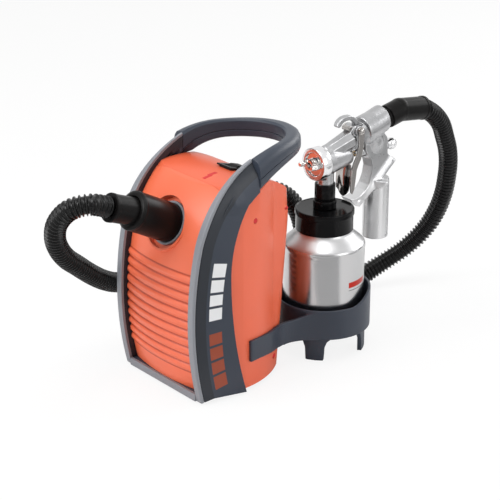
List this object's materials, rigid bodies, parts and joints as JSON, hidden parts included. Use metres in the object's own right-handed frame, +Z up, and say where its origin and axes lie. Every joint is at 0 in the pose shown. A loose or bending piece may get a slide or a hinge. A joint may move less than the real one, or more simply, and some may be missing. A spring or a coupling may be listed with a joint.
{
  "type": "turbine paint sprayer",
  "caption": "Carried turbine unit with loop handle and ribbed air hose, and a cast spray gun whose metal cup stands in a holder behind the unit.",
  "frame": {"origin": "on the floor under the middle of the box round the set, measured without the hose and its cuffs", "axes": "+Z up, -Y the unit's front with the air outlet, +Y towards the cup holder and the gun's grip, +X the side that carries the holder's arm"},
  "size_m": [0.2243, 0.6048, 0.293],
  "materials": {
    "orange_plastic": "satin moulded orange",
    "slate_plastic": "satin moulded slate",
    "trim_plastic": "satin moulded light grey",
    "black_plastic": "semi-gloss black",
    "dark_plastic": "matt dark grey",
    "hose_plastic": "matt black flexible",
    "black_rubber": "matt black",
    "foam": "open grey foam",
    "sheet_steel": "zinc-plated sheet",
    "turned_aluminium": "bright turned",
    "cast_aluminium": "cast, satin",
    "cup_aluminium": "spun, satin",
    "copper_winding": null,
    "steel": "bright steel",
    "brass": "turned brass",
    "lid_plastic": "gloss black",
    "white_plastic": "matt white"
  },
  "bodies": {
    "unit": {"rear_housing": "orange_plastic", "front_panel": "orange_plastic", "base_plate": "dark_plastic", "band_left": "slate_plastic", "band_right": "slate_plastic", "handle_upper": "slate_plastic", "handle_lower": "slate_plastic", "trim_left": "trim_plastic", "trim_right": "trim_plastic", "cross_bar": "slate_plastic", "trim_bottom": "trim_plastic", "outlet_collar": "trim_plastic", "outlet_seal": "black_rubber", "outlet_duct": "dark_plastic", "hose_sleeve": "black_plastic", "hose_cuff": "black_plastic", "air_hose": "hose_plastic", "switch_bezel": "black_plastic", "filter_foam": "foam", "cord_gland": "black_rubber", "turbine_can": "sheet_steel", "diffuser": "turned_aluminium", "motor_frame": "sheet_steel", "motor_stator": "sheet_steel", "motor_bearings": "steel", "brush_holders": "brass", "motor_mount": "black_rubber", "rubber_feet": "black_rubber", "housing_screws": "steel", "holder_wall": "slate_plastic", "holder_floor": "slate_plastic", "holder_legs": "slate_plastic", "holder_arm": "slate_plastic", "holder_screws": "steel"},
    "rocker": {"switch_rocker": "black_plastic"},
    "filter": {"filter_cover": "orange_plastic"},
    "rotor": {"impeller_lower": "turned_aluminium", "impeller_upper": "turned_aluminium", "armature": "copper_winding", "motor_shaft": "steel"},
    "gun": {"gun_body": "cast_aluminium", "hanging_hook": "cast_aluminium", "fluid_nozzle": "brass", "packing_nut": "brass", "needle_spring": "steel", "trigger_pin": "steel", "gun_cuff": "black_plastic", "neck_stem": "lid_plastic", "neck_collar": "lid_plastic", "cup_lid": "lid_plastic", "lid_gasket": "white_plastic", "siphon_tube": "steel"},
    "trigger": {"trigger": "cast_aluminium"},
    "needle": {"needle": "steel"},
    "knob": {"fluid_knob": "turned_aluminium"},
    "cap": {"air_cap": "turned_aluminium"},
    "ring": {"air_cap_ring": "turned_aluminium"},
    "cup_body": {"cup": "cup_aluminium"}
  },
  "joints": [
    {"name": "switch_rock", "type": "hinge", "parent": "unit", "child": "rocker", "pos_m": [0.0035, -0.05926, 0.24802], "axis": [1, 0, 0], "range_deg": [-18, 0]},
    {"name": "rotor_spin", "type": "hinge", "parent": "unit", "child": "rotor", "pos_m": [-0.0065, -0.08, 0.1], "axis": [0, 0, 1], "continuous": true},
    {"name": "filter_cover_slide", "type": "slide", "parent": "unit", "child": "filter", "axis": [0, 1, 0], "range_m": [0, 0.01]},
    {"name": "gun_lift", "type": "slide", "parent": "unit", "child": "gun", "axis": [0.0299, 0.0499, 0.9983], "range_m": [0, 0.06]},
    {"name": "trigger_pull", "type": "hinge", "parent": "gun", "child": "trigger", "pos_m": [0.028, 0.105, 0.269], "axis": [1, 0, 0], "range_deg": [0, 10], "stiffness_Nm_per_rad": 0.9, "springref_deg": -8.59},
    {"name": "needle_draw", "type": "slide", "parent": "gun", "child": "needle", "axis": [0, 1, 0], "range_m": [0, 0.0056]},
    {"name": "fluid_knob_turn", "type": "hinge", "parent": "gun", "child": "knob", "pos_m": [0.028, 0.16, 0.238], "axis": [0, 1, 0], "range_deg": [-180, 180]},
    {"name": "air_cap_turn", "type": "hinge", "parent": "gun", "child": "cap", "pos_m": [0.028, 0.045, 0.238], "axis": [0, 1, 0], "range_deg": [-90, 90]},
    {"name": "cap_ring_turn", "type": "hinge", "parent": "gun", "child": "ring", "pos_m": [0.028, 0.047, 0.238], "axis": [0, 1, 0], "range_deg": [-180, 180]},
    {"name": "cup_turn", "type": "hinge", "parent": "gun", "child": "cup_body", "pos_m": [0.028, 0.06, 0.08], "axis": [0, 0, 1], "range_deg": [-180, 180]}
  ],
  "couplings": [
    {"joint": "needle_draw", "follows": "trigger_pull", "m_per_rad": 0.031}
  ]
}
